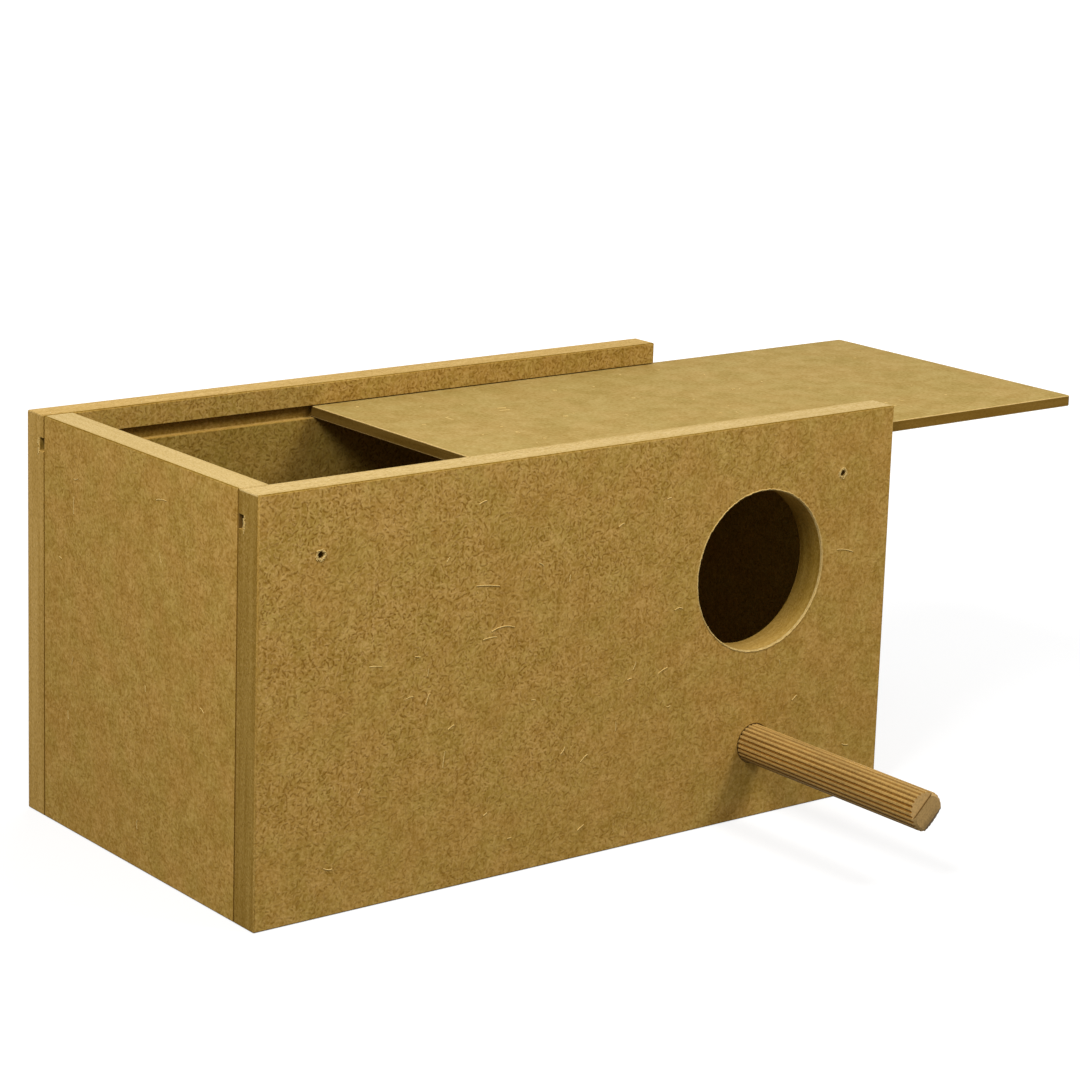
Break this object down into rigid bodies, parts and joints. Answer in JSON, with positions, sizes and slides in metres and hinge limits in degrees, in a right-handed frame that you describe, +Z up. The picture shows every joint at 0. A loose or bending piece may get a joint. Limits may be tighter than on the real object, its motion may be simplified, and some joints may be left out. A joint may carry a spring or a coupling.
{
  "type": "budgie nest box",
  "caption": "Long fibreboard nest box for small cage birds, with a round entrance, a fluted perch below it and a lid that slides along grooves.",
  "frame": {"origin": "middle of the underside of the box, without its lid and perch", "axes": "+X along the box towards the end where the lid slides out, -Y out through the entrance along the perch, +Z up"},
  "size_m": [0.3242, 0.204, 0.125],
  "materials": {
    "fibreboard": "raw sawn medium-density fibreboard, dry and matt, with fine curled fibres",
    "thin_fibreboard": "thin smooth fibreboard, pale and matt, with a few long fibres",
    "beech": "bare fluted beech rod with a roughly cropped end"
  },
  "bodies": {
    "box": {"front_panel": "fibreboard", "back_panel": "fibreboard", "left_end_panel": "fibreboard", "right_end_panel": "fibreboard", "floor_panel": "fibreboard", "perch": "beech"},
    "lid": {"sliding_lid": "thin_fibreboard"}
  },
  "joints": [
    {"name": "lid_slide", "type": "slide", "parent": "box", "child": "lid", "axis": [1, 0, 0], "range_m": [-0.0862, 0.1395]}
  ]
}
